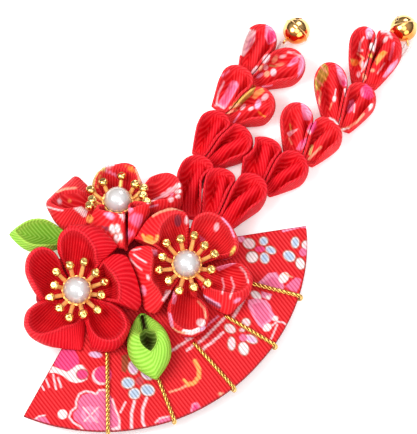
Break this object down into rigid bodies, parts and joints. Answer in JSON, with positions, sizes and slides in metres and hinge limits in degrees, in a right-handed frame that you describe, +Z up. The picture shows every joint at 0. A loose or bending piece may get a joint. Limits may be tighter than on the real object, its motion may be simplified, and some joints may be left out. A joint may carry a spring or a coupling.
{
  "type": "flower hairpin",
  "caption": "Ribbon flower hair clip with pearl centres, green leaves, a printed fan behind and hanging petal strings with jingle bells.",
  "frame": {"origin": "middle of the whole outline, on the surface that the hairpin lies on", "axes": "+Z up out of the flowers' faces, +Y from the fan towards the bells, +X to the right as the flowers are looked at"},
  "size_m": [0.1204, 0.133, 0.0237],
  "materials": {
    "red_ribbon": "ribbed grosgrain ribbon, satin",
    "printed_ribbon": "ribbed grosgrain ribbon with a traditional floral print",
    "green_ribbon": "ribbed grosgrain ribbon, satin",
    "gold_thread": "twisted metallic cord",
    "white_thread": "doubled soft thread",
    "felt": "matt felt",
    "gold": "bright gold plating",
    "pearl": "pearl lustre",
    "steel": "plain, satin"
  },
  "bodies": {
    "root": {"fan": "printed_ribbon", "gold_cord_1": "gold_thread", "gold_cord_2": "gold_thread", "gold_cord_3": "gold_thread", "gold_cord_4": "gold_thread", "gold_cord_5": "gold_thread", "felt_base": "felt", "hair_clip": "steel", "plain_flower_petal_1": "red_ribbon", "plain_flower_petal_2": "red_ribbon", "plain_flower_petal_3": "red_ribbon", "plain_flower_petal_4": "red_ribbon", "plain_flower_petal_5": "red_ribbon", "plain_flower_stamens": "gold", "plain_flower_pearl": "pearl", "upper_flower_petal_1": "printed_ribbon", "upper_flower_petal_2": "printed_ribbon", "upper_flower_petal_3": "printed_ribbon", "upper_flower_petal_4": "printed_ribbon", "upper_flower_petal_5": "printed_ribbon", "upper_flower_stamens": "gold", "upper_flower_pearl": "pearl", "right_flower_petal_1": "printed_ribbon", "right_flower_petal_2": "printed_ribbon", "right_flower_petal_3": "printed_ribbon", "right_flower_petal_4": "printed_ribbon", "right_flower_petal_5": "printed_ribbon", "right_flower_stamens": "gold", "right_flower_pearl": "pearl", "side_leaf": "green_ribbon", "lower_leaf": "green_ribbon", "left_string_petal_1": "printed_ribbon", "left_string_petal_2": "printed_ribbon", "left_string_petal_3": "printed_ribbon", "left_string_petal_4": "printed_ribbon", "left_string_petal_5": "red_ribbon", "left_string_petal_6": "red_ribbon", "left_string_petal_7": "red_ribbon", "right_string_petal_1": "printed_ribbon", "right_string_petal_2": "printed_ribbon", "right_string_petal_3": "printed_ribbon", "right_string_petal_4": "printed_ribbon", "right_string_petal_5": "printed_ribbon", "right_string_petal_6": "printed_ribbon", "right_string_petal_7": "red_ribbon", "right_string_petal_8": "red_ribbon", "right_string_petal_9": "red_ribbon", "right_string_petal_10": "red_ribbon", "left_string_thread": "white_thread", "right_string_thread": "white_thread", "left_bell": "gold", "right_bell": "gold"}
  },
  "joints": []
}
